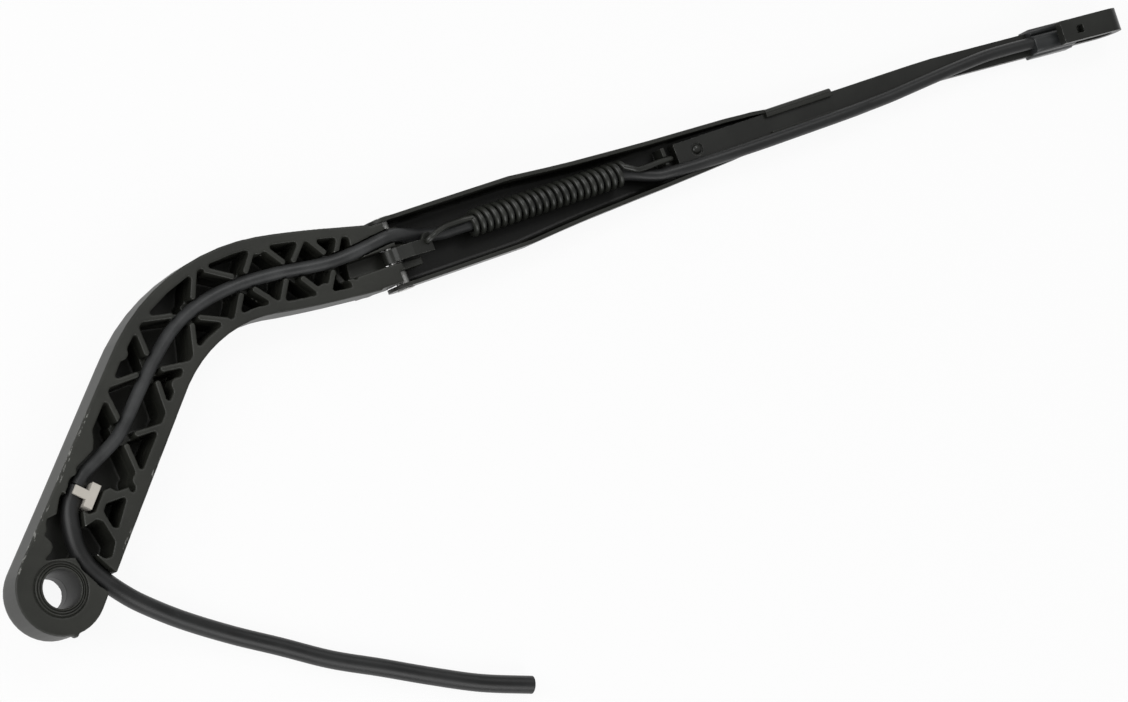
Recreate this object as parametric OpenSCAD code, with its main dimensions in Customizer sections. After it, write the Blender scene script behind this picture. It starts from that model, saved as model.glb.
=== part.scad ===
// Wiper arm seen from its underside: cast head, folded channel, flat rod,
// tension spring and the washer hoses that run along it.
// Row frame: spindle axis at the origin, +X along the channel to the tip,
// +Y across the arm, +Z out of the underside. The outer face lies on Z = 0.

/* [Head casting] */
// Height of the casting at the spindle
head_h = 18; // [15:0.5:22]
// Radius of the round end about the spindle
end_r = 17.1; // [15:0.1:20]
// Direction of the leg from +X
leg_angle = 46; // [35:1:55]
// Radius of the elbow along its middle line
elbow_r = 68; // [55:1:90]
// Direction of the tail before the hinge
tail_angle = -8.5; // [-15:0.5:0]
// Thickness of the outer wall under the pockets
floor_t = 2.6; // [2:0.1:4]
// Width of a lattice rib
rib_w = 2.2; // [1.6:0.1:3]
// Height of the low ribs that pass under the hose
low_rib_h = 11.4; // [8:0.2:13]
// Draft step of the pocket walls below the low ribs
draft = 0.3; // [0.1:0.05:0.6]

/* [Spindle bore] */
// Radius of the straight part of the bore
bore_r = 6; // [5:0.1:8]
// Top of the straight part
bore_top = 6.5; // [5:0.5:9]
// Radius of the cone where it meets the rings
cone_r = 6.7; // [6.2:0.1:8]
// Radius of the flat nut seat on the outer face
seat_r = 12.2; // [10:0.1:13]
// Depth of the cap groove round the seat
cap_groove = 1.3; // [0.5:0.1:2]

/* [Hinge] */
// Distance of the hinge from the spindle along X
hinge_x = 176.5; // [160:0.5:200]
// Distance of the channel's middle line from the spindle
axis_y = 76.6; // [60:0.1:90]
// Hinge height over the outer face
hinge_z = 7; // [6:0.5:9]
// Radius of the hinge pin
pin_r = 2.3; // [2:0.1:3]
// Running clearance of the pin in the tongue
pin_fit = 0.05; // [0.02:0.01:0.1]
// Spring pin back from the hinge
spring_pin_dx = 5; // [3:0.5:8]
// Spring pin above the hinge
spring_pin_dz = 7.2; // [6:0.1:9]
// Radius of the two hinge bosses
boss_r = 5.3; // [4.5:0.1:5.5]
// Radius of the spring pin
spring_pin_r = 1.5; // [1:0.1:2]

/* [Channel] */
// Half width of the channel at the hinge
channel_hw = 14; // [12:0.1:16]
// Sheet thickness
sheet_t = 1.5; // [1:0.1:2]
// Outer bend radius of the channel
bend_r = 4; // [2:0.5:5]
// Wall height at the hinge
wall_h = 13.2; // [10:0.2:15]
// Start of the crimp from the hinge
crimp_dx = 180.5; // [168:0.5:195]
// Length of the crimp
crimp_len = 33; // [20:1:45]
// Width of the rod left open between the crimped edges
crimp_gap = 6; // [3:0.2:8]

/* [Rod] */
// Width of the flat bar
rod_w = 9.6; // [8:0.1:12]
// Thickness of the flat bar
rod_t = 4; // [3:0.1:5]
// Middle line of the rod beside the channel's
rod_dy = 1.1; // [0:0.1:2]
// Start of the rod from the hinge
rod_dx = 134.5; // [128:0.5:145]
// Bend in plan from the hinge
rod_bend_dx = 259.5; // [240:0.5:290]
// Bend in plan
rod_bend = 3.2; // [0:0.1:8]
// Middle of the end hook from the hinge
hook_dx = 350.9; // [330:0.1:380]
// Inner radius of the end hook
hook_r = 3.75; // [3:0.05:5]
// Length of the returned leg
hook_leg = 25.5; // [15:0.5:30]

/* [Spring] */
// Wire diameter
wire_d = 2.3; // [1.8:0.1:3]
// Outer diameter of the coils
spring_od = 10.8; // [9:0.1:13]
// Number of coils
coils = 23; // [15:1:30]
// Middle of the first coil from the hinge
spring_dx = 35.4; // [30:0.1:40]
// Distance from coil to coil
pitch = 2.98; // [2.4:0.01:4]

/* [Hoses] */
// Outer diameter of the hose along the arm
arm_hose_d = 5; // [4:0.1:6]
// Outer diameter of the feed hose
feed_hose_d = 6.9; // [6:0.1:8]

/* [View] */
// Piece to draw

/* [Hidden] */
$fn = 48;
eps = 0.01;

hinge = [hinge_x, axis_y, hinge_z];
crimp_x = hinge_x + crimp_dx;
rod_x = hinge_x + rod_dx;
rod_y = axis_y + rod_dy;
rod_bend_x = hinge_x + rod_bend_dx;
hook_x = hinge_x + hook_dx;
hook_run = hook_dx - rod_bend_dx;
spring_x = hinge_x + spring_dx;
spring_pin_x = hinge_x - spring_pin_dx;
spring_pin_z = hinge_z + spring_pin_dz;
rod_z = sheet_t;
rod_top = rod_z + rod_t;

// Straight lengths of leg and tail that bring the casting's end to the hinge
shoulder = [-12.4, 0.14];
function aim(a) = [cos(a), sin(a)];
function side(a) = [-sin(a), cos(a)];
arc_len = elbow_r * (leg_angle - tail_angle) * PI / 180;
straights = [hinge_x, axis_y] + shoulder - elbow_r * (side(tail_angle) - side(leg_angle));
leg_len = cross(straights, aim(tail_angle)) / cross(aim(leg_angle), aim(tail_angle));
tail_len = cross(aim(leg_angle), straights) / cross(aim(leg_angle), aim(tail_angle));
head_len = leg_len + arc_len + tail_len;
tail_s = head_len - 9;

// Half width of the casting and width of its rims along the middle line
width_plan = [[0, 17.1], [30, 16.5], [70, 16], [100, 15.6], [135, 14.9],
              [160, 14.9], [175, 14.3], [185, 13.6], [200, 12.6]];
rim_plan = [[0, 5], [60, 4.7], [120, 4.2], [200, 3.8]];

// Slot for the spring link and the two cheeks beside it
slot_y0 = axis_y - 4.6;
slot_y1 = axis_y + 1.8;
slot_floor = 9.6;
cheek_y0 = axis_y - 7.6;
cheek_y1 = axis_y + 9.4;
tongue_hw = 12;
tongue_x0 = hinge_x - 13;
tongue_x1 = hinge_x - 4.5;
tongue_top = 17;
link_w = 5.2;
link_y = (slot_y0 + slot_y1) / 2;
link_t = 1.5;
link_end_x = hinge_x + 14.5;
link_wide = 7.4;
hook_hole_x = hinge_x + 11.9;
hook_hole_y = axis_y;
ridge_r = 1.75;

spring_y = axis_y + 1.5;
spring_z = 7.2;
spring_r = (spring_od - wire_d) / 2;
anchor_x = hinge_x + 126.5;
anchor_y = axis_y + 0.7;

// Lattice ribs, along and beside the middle line: root, then free end
outer_ribs = [[73.4, 12.2, 66.5, 3.8], [77.1, 11.9, 84.9, 4.1], [99.2, 11.6, 93.9, 3.9],
              [101.8, 12.6, 110.3, 4.3], [126.9, 11, 121.3, 3.9], [130.3, 9.8, 138.3, 3.1],
              [149.4, 11.3, 144.2, 3.4], [152, 11.7, 159.3, 4.1], [169.6, 11.8, 163.9, 4.1],
              [170.6, 12, 176.7, 5.2], [185.5, 12.2, 181.8, 4.4]];
inner_ribs = [[50.4, -11.9, 58.8, -2.7], [71.4, -11.6, 64.9, -4.6],
              [76.7, -12.9, 85.7, -4.7], [102.7, -13.8, 91.8, -4.3],
              [101.6, -14.7, 113.7, -4], [128.2, -10.8, 118.7, -3.9],
              [132.9, -11.1, 138.7, -4.8], [153, -10.8, 145.4, -4.4],
              [155.3, -11.5, 159, -3.4], [171.8, -9.6, 166.1, -3.6],
              [175.3, -10.1, 178.7, -3.1], [187.5, -10.3, 183.2, -3.4]];
pads = [[49.5, -12.1], [88.9, -12.2], [173.8, -9.5], [89.5, 12.7], [150.7, 11.1]];

// Routes of the hoses, chosen by hand along the pieces that hold them. The arm hose
// first goes along and beside the middle line of the casting, then from the hinge.
head_route = [[38.3, 8.2, 14.2], [41.3, 7.9, 14.4], [44.8, 7.1, 14.7], [53.1, 4, 15.2],
              [60.6, 1.5, 15.4], [68.3, 0.6, 15.4], [80.9, 0.3, 15.4], [94.5, -0.2, 15.4],
              [107.1, 0.2, 15.4], [118.1, 0.2, 15.4], [129.4, -0.2, 15.4],
              [142.5, -0.5, 15.4], [157.6, 0.3, 15.4], [170.7, 0.7, 15.4],
              [180.7, 1.4, 15.4], [190.5, 3.5, 15.4], [198.2, 5.7, 15.5]];
far_route = [[-4.5, 6.2, 8.3], [1.5, 5.8, 6.6], [7.5, 4.6, 4], [13.5, 3.3, 1.5],
             [21.5, 1.8, 0.3], [29.5, 1.5, 0.2], [68.5, 1.5, 0.2], [93.5, 1.5, 0.2],
             [101.5, 1.2, 0.1], [108.5, -0.7, -0.3], [114.5, -2.8, -0.5],
             [122.5, -4.3, -0.1], [127.5, -4.6, 0.8], [133.5, -4.7, 1.3],
             [139.5, -4.75, 1.35], [144.5, -4.62, 1.75], [149.5, -4.55, 2.2],
             [159.5, -4.5, 2.7], [173.5, -4.2, 2.7], [183.5, -4, 2.7], [214.5, -3.7, 2.65],
             [227.5, -3.4, 1.12], [239.5, -3.1, 1.1], [257.5, -2, 1.05], [273.5, -1.2, 1.05],
             [289.5, -0.8, 1.05], [301.5, -1.1, 1.05], [309.5, -1.53, 1.05],
             [316.5, -1.92, 1.05], [323.5, -2.31, 1.05]];
feed_route = [[20.1, 32.7, 14], [18, 30.2, 14], [14.8, 25.9, 13.9], [13, 19, 13.8],
              [12.5, 12, 13.6], [13.9, 5, 13.6], [17.4, -1.4, 13.6], [21.9, -7.6, 13.4],
              [29, -14.8, 12], [43, -25.4, 7.8], [60.4, -36.9, 4.4], [77.5, -47.6, 3.6],
              [94.5, -58.7, 3.6], [112.4, -68.3, 3.6], [130.4, -78.2, 3.6],
              [148.8, -87.6, 3.6], [168.6, -95.5, 3.6]];

// Middle line of the casting
arc_c = leg_len * aim(leg_angle) - elbow_r * side(leg_angle);
arc_end = arc_c + elbow_r * side(tail_angle);
function heading(s) = s < leg_len ? leg_angle
    : s < leg_len + arc_len ? leg_angle - (s - leg_len) / elbow_r * 180 / PI
    : tail_angle;
function middle(s) = s < leg_len ? s * aim(leg_angle)
    : s < leg_len + arc_len ? arc_c + elbow_r * side(heading(s))
    : arc_end + (s - leg_len - arc_len) * aim(tail_angle);
function beside(q) = middle(q[0]) + q[1] * side(heading(q[0]));
arm_route = concat([for (q = head_route) [each beside(q), q[2]]], [for (q = far_route) hinge + q]);
function half_w(s) = lookup(s, width_plan);
function rim_w(s) = lookup(s, rim_plan);
function edge(s, hand, inset) =
    middle(s) + hand * (half_w(s) - inset) * side(heading(s));

// Places along the rims where the field of ribs has its corners
stations = [for (i = [0 : 16]) 42 + i * (tail_s - 42) / 16];

// Plan of the casting, drawn in by inset
steps = 30;
function outline(inset, last) = concat(
    [for (a = [0 : 9 : 180]) (end_r - inset) * aim(leg_angle + 90 + a)],
    [for (i = [1 : steps]) edge(i * last / steps, -1, inset)],
    [for (i = [steps : -1 : 1]) edge(i * last / steps, 1, inset)]);

// Smooth line through the route points
function knot(p, i) = p[max(0, min(len(p) - 1, i))];
function bow(p, i, t) =
    let (a = knot(p, i - 1), b = knot(p, i), c = knot(p, i + 1), d = knot(p, i + 2))
    0.5 * (2 * b + (c - a) * t + (2 * a - 5 * b + 4 * c - d) * t * t
           + (3 * b - a - 3 * c + d) * t * t * t);
function smooth_line(p, n) = concat(
    [for (i = [0 : len(p) - 2]) for (k = [0 : n - 1]) bow(p, i, k / n)],
    [p[len(p) - 1]]);
function unit(v) = v / norm(v);
function run(p, i) = unit(knot(p, i + 1) - knot(p, i - 1));
function ring(p, i, r, n) =
    let (t = run(p, i), u = unit(cross([0.02, 0.03, 1], t)), v = cross(t, u))
    [for (k = [0 : n - 1]) p[i] + r * (cos(360 * k / n) * u + sin(360 * k / n) * v)];

function reversed(q) = [for (i = [len(q) - 1 : -1 : 0]) q[i]];

// Rings of n points joined into one closed body, cap lists the faces of an end
module skin(points, n, last, cap) {
    sides = [for (i = [0 : last - 1]) for (k = [0 : n - 1])
        let (m = (k + 1) % n)
        each [[i * n + k, (i + 1) * n + k, (i + 1) * n + m],
              [i * n + k, (i + 1) * n + m, i * n + m]]];
    top = [for (f = cap) [for (v = reversed(f)) v + last * n]];
    polyhedron(points, concat(sides, cap, top));
}

module sweep(p, d, n) {
    last = len(p) - 1;
    points = [for (i = [0 : last]) each ring(p, i, d / 2, n)];
    skin(points, n, last, [[for (k = [0 : n - 1]) k]]);
}

// Bar with round ends, drawn in plan
module bar(x0, y0, x1, y1, w) {
    reach = norm([x1 - x0, y1 - y0]);
    translate([x0, y0])
    rotate(atan2(y1 - y0, x1 - x0))
    translate([0, -w / 2])
    square([reach, w]);
    translate([x1, y1])
    circle(d = 1.04 * w, $fn = 16);
}

// Trough open to the underside along a route
module trough(p, w, drop) {
    translate([p[0][0], p[0][1], p[0][2] - drop])
    cylinder(h = 20, d = 1.08 * w);
    for (i = [0 : len(p) - 2]) {
        a = p[i];
        b = p[i + 1];
        translate([0, 0, min(a[2], b[2]) - drop])
        linear_extrude(20)
        bar(a[0], a[1], b[0], b[1], w);
    }
}

module ribs(list, w) {
    for (r = list) {
        a = beside([r[0], r[1]]);
        b = beside([r[2], r[3]]);
        bar(a[0], a[1], b[0], b[1], w);
    }
}

// The same ribs carried on under the hose
module long_ribs(list, w) {
    for (r = list) {
        a = beside([r[0], r[1]]);
        b = beside([r[2], r[3]]);
        c = b + 8 * unit(b - a);
        bar(a[0], a[1], c[0], c[1], w);
    }
}

// Open field of the casting between its rims, drawn in by the draft d
module field(d) {
    difference() {
        polygon(concat(
            [for (s = stations) edge(s, -1, rim_w(s) + d)],
            [for (s = reversed(stations)) edge(s, 1, rim_w(s) + d)]));
        polygon([[-5, 20], [12, 29], [16, 34.7], [20, 38.7], [25.5, 41], [30, 43.2],
                 [31.5, 46.2], [32.5, 50], [28, 62], [-5, 62]]);
        translate([tongue_x0, slot_y1])
        polygon([[-6.1, 0], [-6.1, 5.6], [-9.1, 13.6], [2.5, 15.6], [2.5, 0]]);
        translate([tongue_x0 - 5.1, slot_y0 - 12])
        square([7.6, 12]);
        for (q = pads)
            translate(beside(q)) circle(3 + d, $fn = 24);
        bar(38, 25.2, 29, 25.4, rib_w + 2 * d);
        bar(29.5, 26.5, 23, 19.6, rib_w + 2 * d);
    }
    polygon([[22, 19.2], [24, 17.6], [25.6, 9.4], [22.6, 4.9], [19.8, 4.9], [17.4, 7.6],
             [15.6, 12], [15.8, 17.8]]);
    polygon([[25.6, 21], [27.6, 23.4], [36.2, 23.4], [28.6, 13.6], [26.8, 14.6]]);
}

module head_shell() {
    insets = [2.4, 1.1, 0.45, 0.1, 0, 0];
    heights = [0, 0.7, 1.8, 3.4, 6, head_h];
    plans = [for (q = insets) outline(q, head_len)];
    n = len(plans[0]);
    last = len(plans) - 1;
    points = [for (i = [0 : last]) for (q = plans[i]) [q[0], q[1], heights[i]]];
    cap = concat([concat([for (k = [0 : 21]) k], [n - 1])],
        [for (i = [1 : steps - 1])
            each [[20 + i, 21 + i, n - 1 - i], [20 + i, n - 1 - i, n - i]]]);
    skin(points, n, last, cap);
}

// Tongue that goes in between the channel ears
module tongue() {
    translate([tongue_x0 - 6, axis_y - tongue_hw, 0.6])
    cube([10.5, 2 * tongue_hw, tongue_top - 0.6]);
    translate([tongue_x0, axis_y - tongue_hw, 4.6])
    cube([tongue_x1 - tongue_x0, 2 * tongue_hw, tongue_top - 4.6]);
    translate([tongue_x1 - 2, 0, 0])
    for (c = [[cheek_y0, slot_y0], [slot_y1, cheek_y1]])
        translate([0, c[0], 4.6])
        cube([4, c[1] - c[0], tongue_top - 4.6]);
    difference() {
        translate([tongue_x0 + 3, axis_y - tongue_hw, 0.6])
        cube([9, 2 * tongue_hw, 4.3]);
        translate([hinge_x, axis_y + 30, hinge_z])
        rotate([90, 0, 0])
        cylinder(h = 60, r = hinge_z + 0.45);
    }
    for (c = [[cheek_y0, slot_y0], [slot_y1, cheek_y1]]) {
        translate([hinge_x, c[1], hinge_z])
        rotate([90, 0, 0])
        cylinder(h = c[1] - c[0], r = boss_r);
        translate([tongue_x1, c[0], 4.6])
        cube([hinge_x - tongue_x1, c[1] - c[0], 7.8]);
    }
    translate([hinge_x - 3, cheek_y0, 6.4])
    cube([11.2, slot_y0 - cheek_y0, 6.2]);
}

module arm_head() {
    color([0.2, 0.2, 0.18])
    difference() {
        union() {
            head_shell();
            tongue();
            translate([-0.6, -17, 14.6])
            cylinder(h = 3.4, r = 1.1, $fn = 20);
        }
        translate([0, 0, low_rib_h])
        linear_extrude(20)
        offset(r = 0.9, $fn = 12)
        offset(delta = -0.9)
        difference() {
            field(0);
            ribs(outer_ribs, rib_w);
            ribs(inner_ribs, rib_w);
        }
        translate([0, 0, floor_t])
        linear_extrude(low_rib_h - floor_t + eps)
        difference() {
            field(draft);
            long_ribs(outer_ribs, rib_w + 2 * draft);
            long_ribs(inner_ribs, rib_w + 2 * draft);
        }
        translate([0, 0, -1])
        cylinder(h = 20, r = bore_r);
        translate([0, 0, -1])
        difference() {
            cylinder(h = cap_groove + 1, r = seat_r + 1.2);
            cylinder(h = cap_groove + 1, r = seat_r);
        }
        translate([0, 0, bore_top])
        cylinder(h = 8.5 + eps, r1 = bore_r, r2 = cone_r);
        translate([0, 0, 15])
        cylinder(h = 5, r = cone_r + 1.2);
        translate([0, 0, 16.1])
        cylinder(h = 5, r = cone_r + 2.4);
        translate([0, 0, 17.1])
        cylinder(h = 5, r = cone_r + 3.5);
        trough([for (q = feed_route) if (q[1] > -18) q], feed_hose_d + 0.7, 3.8);
        trough([for (q = arm_route) if (q[0] < 50) q], arm_hose_d + 0.9, 3);
        trough([for (q = arm_route) if (abs(q[0] - hinge_x + 7.5) < 22) q], arm_hose_d + 0.6, 2.8);
        translate([0, 0, 7.5])
        linear_extrude(20)
        polygon([[0, 11.4], [3.4, 13], [4, 17.4], [4.6, 22.6], [9.6, 26.6], [14, 31],
                 [14, 12], [9, 9]]);
        translate([0, 0, 10.2])
        linear_extrude(20)
        polygon([[20, 22], [22.6, 22], [28.4, 28.2], [35, 28.6], [37, 32], [36.8, 38],
                 [33, 40], [22, 34], [16, 26]]);
        translate([tongue_x0 - 14.5, slot_y0, slot_floor])
        cube([spring_pin_x - tongue_x0 + 13.8, slot_y1 - slot_y0, 20]);
        translate([spring_pin_x - 0.8, slot_y0, floor_t + 2])
        cube([40, slot_y1 - slot_y0, 20]);
        translate([hinge_x, axis_y + 23, hinge_z])
        rotate([90, 0, 0])
        cylinder(h = 46, r = pin_r + pin_fit);
        translate([spring_pin_x, slot_y1 + 1.1, spring_pin_z])
        rotate([90, 0, 0])
        cylinder(h = 30, r = spring_pin_r);
        translate([90, 0, head_h])
        rotate([0, 0.75, 0])
        translate([0, 30, 0])
        cube([120, 100, 6]);
    }
}

module pivot_pin() {
    color([0.72, 0.72, 0.7])
    translate([hinge_x, axis_y + channel_hw + 0.5, hinge_z])
    rotate([90, 0, 0]) {
        cylinder(h = 2 * channel_hw + 1, r = pin_r);
        cylinder(h = 0.45, r = pin_r + 1);
        translate([0, 0, 2 * channel_hw + 0.55])
        cylinder(h = 0.45, r = pin_r + 1);
    }
}

module spring_pin() {
    color([0.6, 0.6, 0.58])
    translate([spring_pin_x, slot_y1 + 1, spring_pin_z])
    rotate([90, 0, 0])
    cylinder(h = slot_y1 - slot_y0 + 4.1, r = spring_pin_r, $fn = 32);
}

// Strip curled round the spring pin and arched over the hinge pin
module spring_link() {
    r0 = spring_pin_r + pin_fit;
    r1 = r0 + link_t;
    reach = link_end_x - spring_pin_x;
    y0 = link_y - link_w / 2;
    color([0.22, 0.22, 0.21])
    difference() {
        translate([spring_pin_x, y0 + link_wide, spring_pin_z])
        rotate([90, 0, 0])
        linear_extrude(link_wide)
        difference() {
            union() {
                circle(r1, $fn = 32);
                polygon([[0, r0 - 0.2], [1, r0], [2, 2.6], [8, 2.6], [12, 0.6],
                         [reach, -2.6], [reach, -1], [12.4, 2.2], [8.4, 4.1], [1.6, 4.1],
                         [0, r1]]);
            }
            circle(r0, $fn = 32);
        }
        translate([0, 0, spring_pin_z - 8])
        linear_extrude(20)
        polygon([[spring_pin_x - 10, y0 + link_w], [hinge_x + 9.2, y0 + link_w],
                 [hinge_x + 11.5, y0 + link_wide], [hinge_x + 11.5, y0 + 20],
                 [spring_pin_x - 10, y0 + 20]]);
        translate([hook_hole_x, hook_hole_y, spring_pin_z - 8])
        cylinder(h = 20, r = wire_d / 2 + 0.12, $fn = 24);
    }
}

module spring() {
    turns = coils - 1;
    start = 63;
    coil = [for (i = [0 : turns * 9])
        let (a = start + 40 * i)
        [spring_x + pitch * i / 9, spring_y + spring_r * cos(a), spring_z + spring_r * sin(a)]];
    hole = [hook_hole_x, hook_hole_y, spring_pin_z];
    front = [spring_x, spring_y, spring_z];
    back = front + [pitch * turns, 0, 0];
    anchor = [anchor_x, anchor_y, spring_z];
    lead = concat(
        [for (q = [[2.8, -0.3, -3.9], [0.8, -0.1, -3.7], [0, 0, -2.5], [0, 0, -1],
                   [0, 0, 0.5], [0.8, 0.4, 1.6], [3, 1.3, 1.8]]) hole + q],
        [for (q = [[-16.9, 0.9, 7.4], [-11.9, 1.8, 5.3], [-5.9, 2, 4.1], [-2.3, 2, 3.8]]) front + q]);
    tail = concat(
        [for (q = [[3.54, 0.9, 4], [7.54, -0.3, 3.7]]) back + q],
        [for (q = [[-13, 0, 2.4], [-6, 0, 1.4], [2.4, 0, 0.5], [4.2, 0, -0.7], [4.2, 0, -2.8]])
            anchor + q]);
    color([0.18, 0.18, 0.17])
    sweep(concat(lead, coil, tail), wire_d, 7);
}

// Folded sheet: centre, half width and wall height, x from the hinge
mid_plan = [[-8.5, axis_y], [123.5, axis_y + 0.1], [crimp_dx - 12, rod_y - 0.4], [crimp_dx, rod_y]];
hw_plan = [[23.5, channel_hw], [55.5, channel_hw - 0.1], [80.5, 0.85 * channel_hw],
           [109.5, 0.75 * channel_hw], [123.5, 9.9], [crimp_dx - 20, 8.3], [crimp_dx - 7, 7.3],
           [crimp_dx, rod_w / 2 + 0.05 + sheet_t]];
h_plan = [[23.5, wall_h], [55.5, wall_h - 0.6], [123.5, 9.4], [crimp_dx - 20, 7.6],
          [crimp_dx - 7, 6.9], [crimp_dx, 6.2]];
r_plan = [[109.5, bend_r], [141.5, 2.6], [crimp_dx - 12, 1.9], [crimp_dx, sheet_t + 0.35]];
function fold(x, t, lift) =
    let (m = lookup(x, mid_plan), w = lookup(x, hw_plan) - t, h = lookup(x, h_plan) + lift,
         r = lookup(x, r_plan) - t)
    concat(
        [[m - w, h]],
        [for (a = [180 : 18 : 270]) [m - w + r + r * cos(a), t + r + r * sin(a)]],
        [for (a = [270 : 18 : 360]) [m + w - r + r * cos(a), t + r + r * sin(a)]],
        [[m + w, h]]);

// Solid of the folded plan, t in from the outer faces
module folded(xs, t, lift) {
    n = len(fold(0, t, lift));
    last = len(xs) - 1;
    points = [for (i = [0 : last]) for (q = fold(xs[i], t, lift)) [hinge_x + xs[i], q[0], q[1]]];
    skin(points, n, last, [[for (k = [0 : n - 1]) k]]);
}

module channel_body() {
    inner = [23.5, 55.5, 63.5, 73.5, 85.5, 97.5, 109.5, 123.5, 141.5, crimp_dx - 20,
             crimp_dx - 12, crimp_dx - 7];
    difference() {
        folded(concat([0], inner, [crimp_dx]), 0, 0);
        folded(concat([-1.5], inner, [crimp_dx + 1]), sheet_t, 5);
    }
}

module ear(y) {
    translate([0, y, 0])
    rotate([90, 0, 0])
    linear_extrude(sheet_t)
    union() {
        translate([hinge_x, hinge_z])
        circle(hinge_z);
        translate([hinge_x, 2.4])
        square([6, wall_h - 2.4]);
    }
}

module crimp() {
    w = rod_w / 2 + 0.05 + sheet_t;
    top = rod_top + 0.05 + sheet_t;
    translate([crimp_x - 0.6, rod_y, 0])
    rotate([90, 0, 90])
    linear_extrude(crimp_len)
    difference() {
        union() {
            translate([-w, bend_r - 2])
            square([2 * w, top - bend_r + 0.6]);
            translate([-w + 2, 0])
            square([2 * w - 4, top]);
            for (q = [-1, 1])
                for (z = [2, top - 1.4])
                    translate([q * (w - (z > 2 ? 1.4 : 2)), z])
                    circle(z > 2 ? 1.4 : 2, $fn = 24);
        }
        translate([-rod_w / 2 - 0.05, rod_z])
        square([rod_w + 0.1, rod_t + 0.05]);
        translate([-crimp_gap / 2, rod_z])
        square([crimp_gap, 10]);
    }
}

module arm_channel() {
    color([0.16, 0.17, 0.16])
    difference() {
        union() {
            channel_body();
            ear(axis_y - channel_hw + sheet_t);
            ear(axis_y + channel_hw);
            crimp();
            translate([anchor_x, anchor_y - 2.1, 0.5])
            cube([sheet_t, 7, 8.2]);
        }
        translate([hinge_x, axis_y + 23, hinge_z])
        rotate([90, 0, 0])
        cylinder(h = 46, r = pin_r);
        translate([crimp_x - 14, rod_y - rod_w / 2 - 0.05, rod_z])
        cube([15, rod_w + 0.1, rod_t]);
        translate([anchor_x - 3, anchor_y - 1.3, 6.4])
        cube([8, 2.6, 6]);
        translate([rod_x + 10, rod_y, -1])
        cylinder(h = 4, r = 1.6, $fn = 24);
        translate([rod_x + 10, rod_y, -1])
        cylinder(h = 1.7, r = 2.9, $fn = 32);
    }
}

// Point of the bent part of the rod in plan, x measured from the bend
function bent(x, y) = [rod_bend_x + 6 + (x - 6) * cos(rod_bend) + y * sin(rod_bend),
    rod_y - 0.17 - (x - 6) * sin(rod_bend) + y * cos(rod_bend)];

// Flat bar bent a little in plan
module bar_plan(w) {
    polygon([[rod_x, rod_y - w], [rod_x, rod_y + w], [rod_bend_x - 6, rod_y + w],
             bent(6, w), bent(hook_run + 20, w), bent(hook_run + 20, -w), bent(6, -w),
             [rod_bend_x - 6, rod_y - w]]);
}

// Puts a child on the bent part of the rod, x measured from the bend
module after_bend() {
    translate([rod_bend_x + 6, rod_y - 0.17, 0])
    rotate([0, 0, -rod_bend])
    translate([-6, 0, 0])
    children();
}

// Side view of the rod with its end turned back over itself
module hook_profile() {
    mid = rod_top + hook_r;
    translate([rod_x - rod_bend_x - 30, rod_z])
    square([hook_run + rod_bend_x - rod_x + 30, rod_t]);
    translate([hook_run - hook_leg, mid + hook_r])
    square([hook_leg, rod_t]);
    translate([hook_run, mid])
    intersection() {
        difference() {
            circle(hook_r + rod_t, $fn = 96);
            circle(hook_r, $fn = 96);
        }
        translate([0, -20])
        square([20, 40]);
    }
}

module arm_rod() {
    color([0.17, 0.18, 0.17])
    difference() {
        intersection() {
            linear_extrude(30)
            bar_plan(rod_w / 2);
            after_bend()
            translate([0, 40, 0])
            rotate([90, 0, 0])
            linear_extrude(80)
            hook_profile();
        }
        translate([rod_x + 10, rod_y, 0])
        cylinder(h = 10, r = 1.6, $fn = 24);
        translate([rod_x + 10, rod_y, rod_top - 0.6])
        cylinder(h = 2, r = 2.7, $fn = 32);
        after_bend()
        translate([hook_run - 18.2, -2, rod_top + 2 * hook_r - 1])
        cube([3.6, 3.4, 8]);
    }
}

module rod_rivet() {
    color([0.3, 0.31, 0.29])
    translate([rod_x + 10, rod_y, 0]) {
        translate([0, 0, 0.05])
        cylinder(h = 0.6, r = 2.8, $fn = 32);
        translate([0, 0, 0.3])
        cylinder(h = rod_top - 0.4, r = 1.6, $fn = 24);
        translate([0, 0, rod_top - 0.6])
        cylinder(h = 0.9, r1 = 2.05, r2 = 1.5, $fn = 24);
    }
}

// T-shaped clip over the joint of the two hoses
module hose_clip() {
    color([0.78, 0.75, 0.7])
    rotate([0, 0, leg_angle])
    translate([35.62, 2.56, 0]) {
        translate([-4.4, -1.75, 10.3])
        cube([9.6, 3.5, 8.4]);
        translate([-1.9, 1.7, 17.6])
        cube([3.5, 5.5, 1.1]);
    }
}

module feed_hose() {
    color([0.14, 0.14, 0.15])
    sweep(smooth_line(feed_route, 2), feed_hose_d, 12);
}

module arm_hose() {
    color([0.15, 0.15, 0.15])
    sweep(arm_route, arm_hose_d, 10);
}

module tip_sleeve() {
    w = rod_w / 2 + 1;
    hose_z = rod_top + arm_hose_d / 2 + 0.05;
    hose_r = arm_hose_d / 2;
    color([0.2, 0.21, 0.23])
    after_bend()
    translate([hook_x - 39 - rod_bend_x, 0, 0])
    rotate([90, 0, 90])
    linear_extrude(23)
    difference() {
        union() {
            translate([-w, rod_z - 0.9])
            square([2 * w, rod_t + 2.2]);
            translate([-w + 1, rod_top])
            square([w + hose_r - 0.6, hose_r * 2 + 0.6]);
            translate([-w, rod_top])
            square([w + 2, hose_r * 2 - 0.4]);
            translate([-w + 1, rod_top + 2 * hose_r - 0.4])
            circle(1, $fn = 24);
            translate([w - ridge_r, rod_top + 2.2])
            circle(ridge_r, $fn = 32);
            translate([w - 2 * ridge_r, rod_top])
            square([2 * ridge_r, 2.2]);
        }
        translate([-rod_w / 2 - 0.02, rod_z - 0.02])
        square([rod_w + 0.04, rod_t + 0.04]);
        translate([0, hose_z])
        circle(hose_r + 0.02, $fn = 32);
    }
}

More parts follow.
